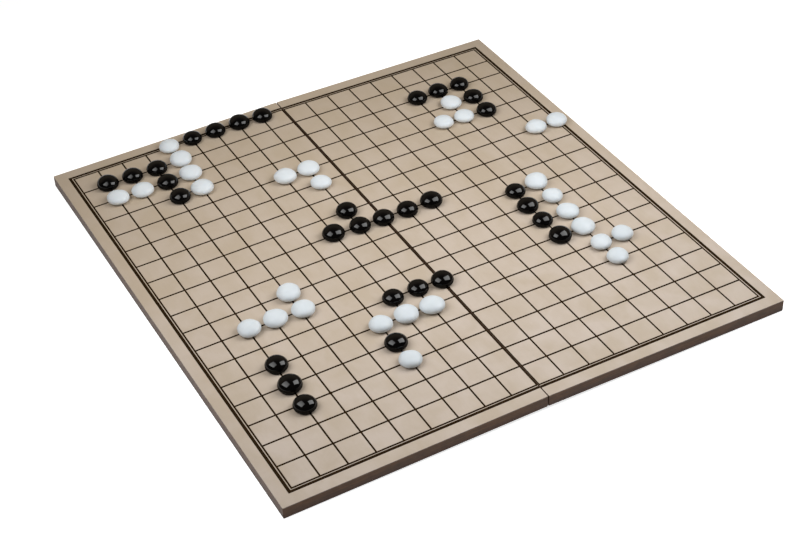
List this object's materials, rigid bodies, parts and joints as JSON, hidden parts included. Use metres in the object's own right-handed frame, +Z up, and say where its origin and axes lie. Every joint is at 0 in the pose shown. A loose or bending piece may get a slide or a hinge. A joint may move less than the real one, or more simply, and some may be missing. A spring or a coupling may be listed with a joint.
{
  "type": "folding go board with stones",
  "caption": "Flat folding board with a ruled line grid, hinged across the middle on its underside, with domed black and white glass stones resting on the line crossings.",
  "frame": {"origin": "on the table, under the middle of the open board and its seam", "axes": "+X across the seam towards the half that folds, +Y along the seam, +Z up from the table"},
  "size_m": [0.4236, 0.455, 0.0215],
  "materials": {
    "fibreboard": "raw fibreboard, painted where it shows",
    "stained lipping": "dark stained hardwood, satin",
    "maple face": "pale maple veneer, satin lacquer",
    "line ink": "brown-black ink, satin",
    "backing sheet": "dark brown resin paper, matt",
    "hinge brass": "brushed brass",
    "hinge pin steel": "drawn steel",
    "screw brass": "turned brass",
    "black glass": "opaque black glass, polished",
    "white glass": "opaque milk glass, polished"
  },
  "bodies": {
    "left_half": {"backing_left": "backing sheet", "core_left": "fibreboard", "grid_lines_left": "line ink", "hinge_leaf_far_left": "hinge brass", "hinge_leaf_near_left": "hinge brass", "hinge_pin_far": "hinge pin steel", "hinge_pin_near": "hinge pin steel", "hinge_screws_left": "screw brass", "lipping_left": "stained lipping", "maple_face_left": "maple face"},
    "right_half": {"backing_right": "backing sheet", "core_right": "fibreboard", "grid_lines_right": "line ink", "hinge_leaf_far_right": "hinge brass", "hinge_leaf_near_right": "hinge brass", "hinge_screws_right": "screw brass", "lipping_right": "stained lipping", "maple_face_right": "maple face"},
    "black_stones_left": {"stones_black_centre": "black glass", "stones_black_far_edge": "black glass", "stones_black_left_corner": "black glass", "stones_black_left_side": "black glass", "stones_black_near_centre": "black glass"},
    "black_stones_right": {"stones_black_centre_right": "black glass", "stones_black_far_corner": "black glass", "stones_black_right_side": "black glass"},
    "white_stones_left": {"stones_white_centre": "white glass", "stones_white_far_edge": "white glass", "stones_white_left_corner": "white glass", "stones_white_left_side": "white glass", "stones_white_near_centre": "white glass"},
    "white_stones_right": {"stones_white_far_corner": "white glass", "stones_white_right_edge": "white glass", "stones_white_right_side": "white glass"}
  },
  "joints": [
    {"name": "fold", "type": "hinge", "parent": "left_half", "child": "right_half", "pos_m": [0, 0, 0.00135], "axis": [0, 1, 0], "range_deg": [-1.1, 178.8]},
    {"name": "lift_black_stones_left", "type": "slide", "parent": "left_half", "child": "black_stones_left", "axis": [0, 0, 1], "range_m": [0, 0.06]},
    {"name": "lift_white_stones_left", "type": "slide", "parent": "left_half", "child": "white_stones_left", "axis": [0, 0, 1], "range_m": [0, 0.06]},
    {"name": "lift_black_stones_right", "type": "slide", "parent": "right_half", "child": "black_stones_right", "axis": [0, 0, 1], "range_m": [0, 0.06]},
    {"name": "lift_white_stones_right", "type": "slide", "parent": "right_half", "child": "white_stones_right", "axis": [0, 0, 1], "range_m": [0, 0.06]}
  ]
}
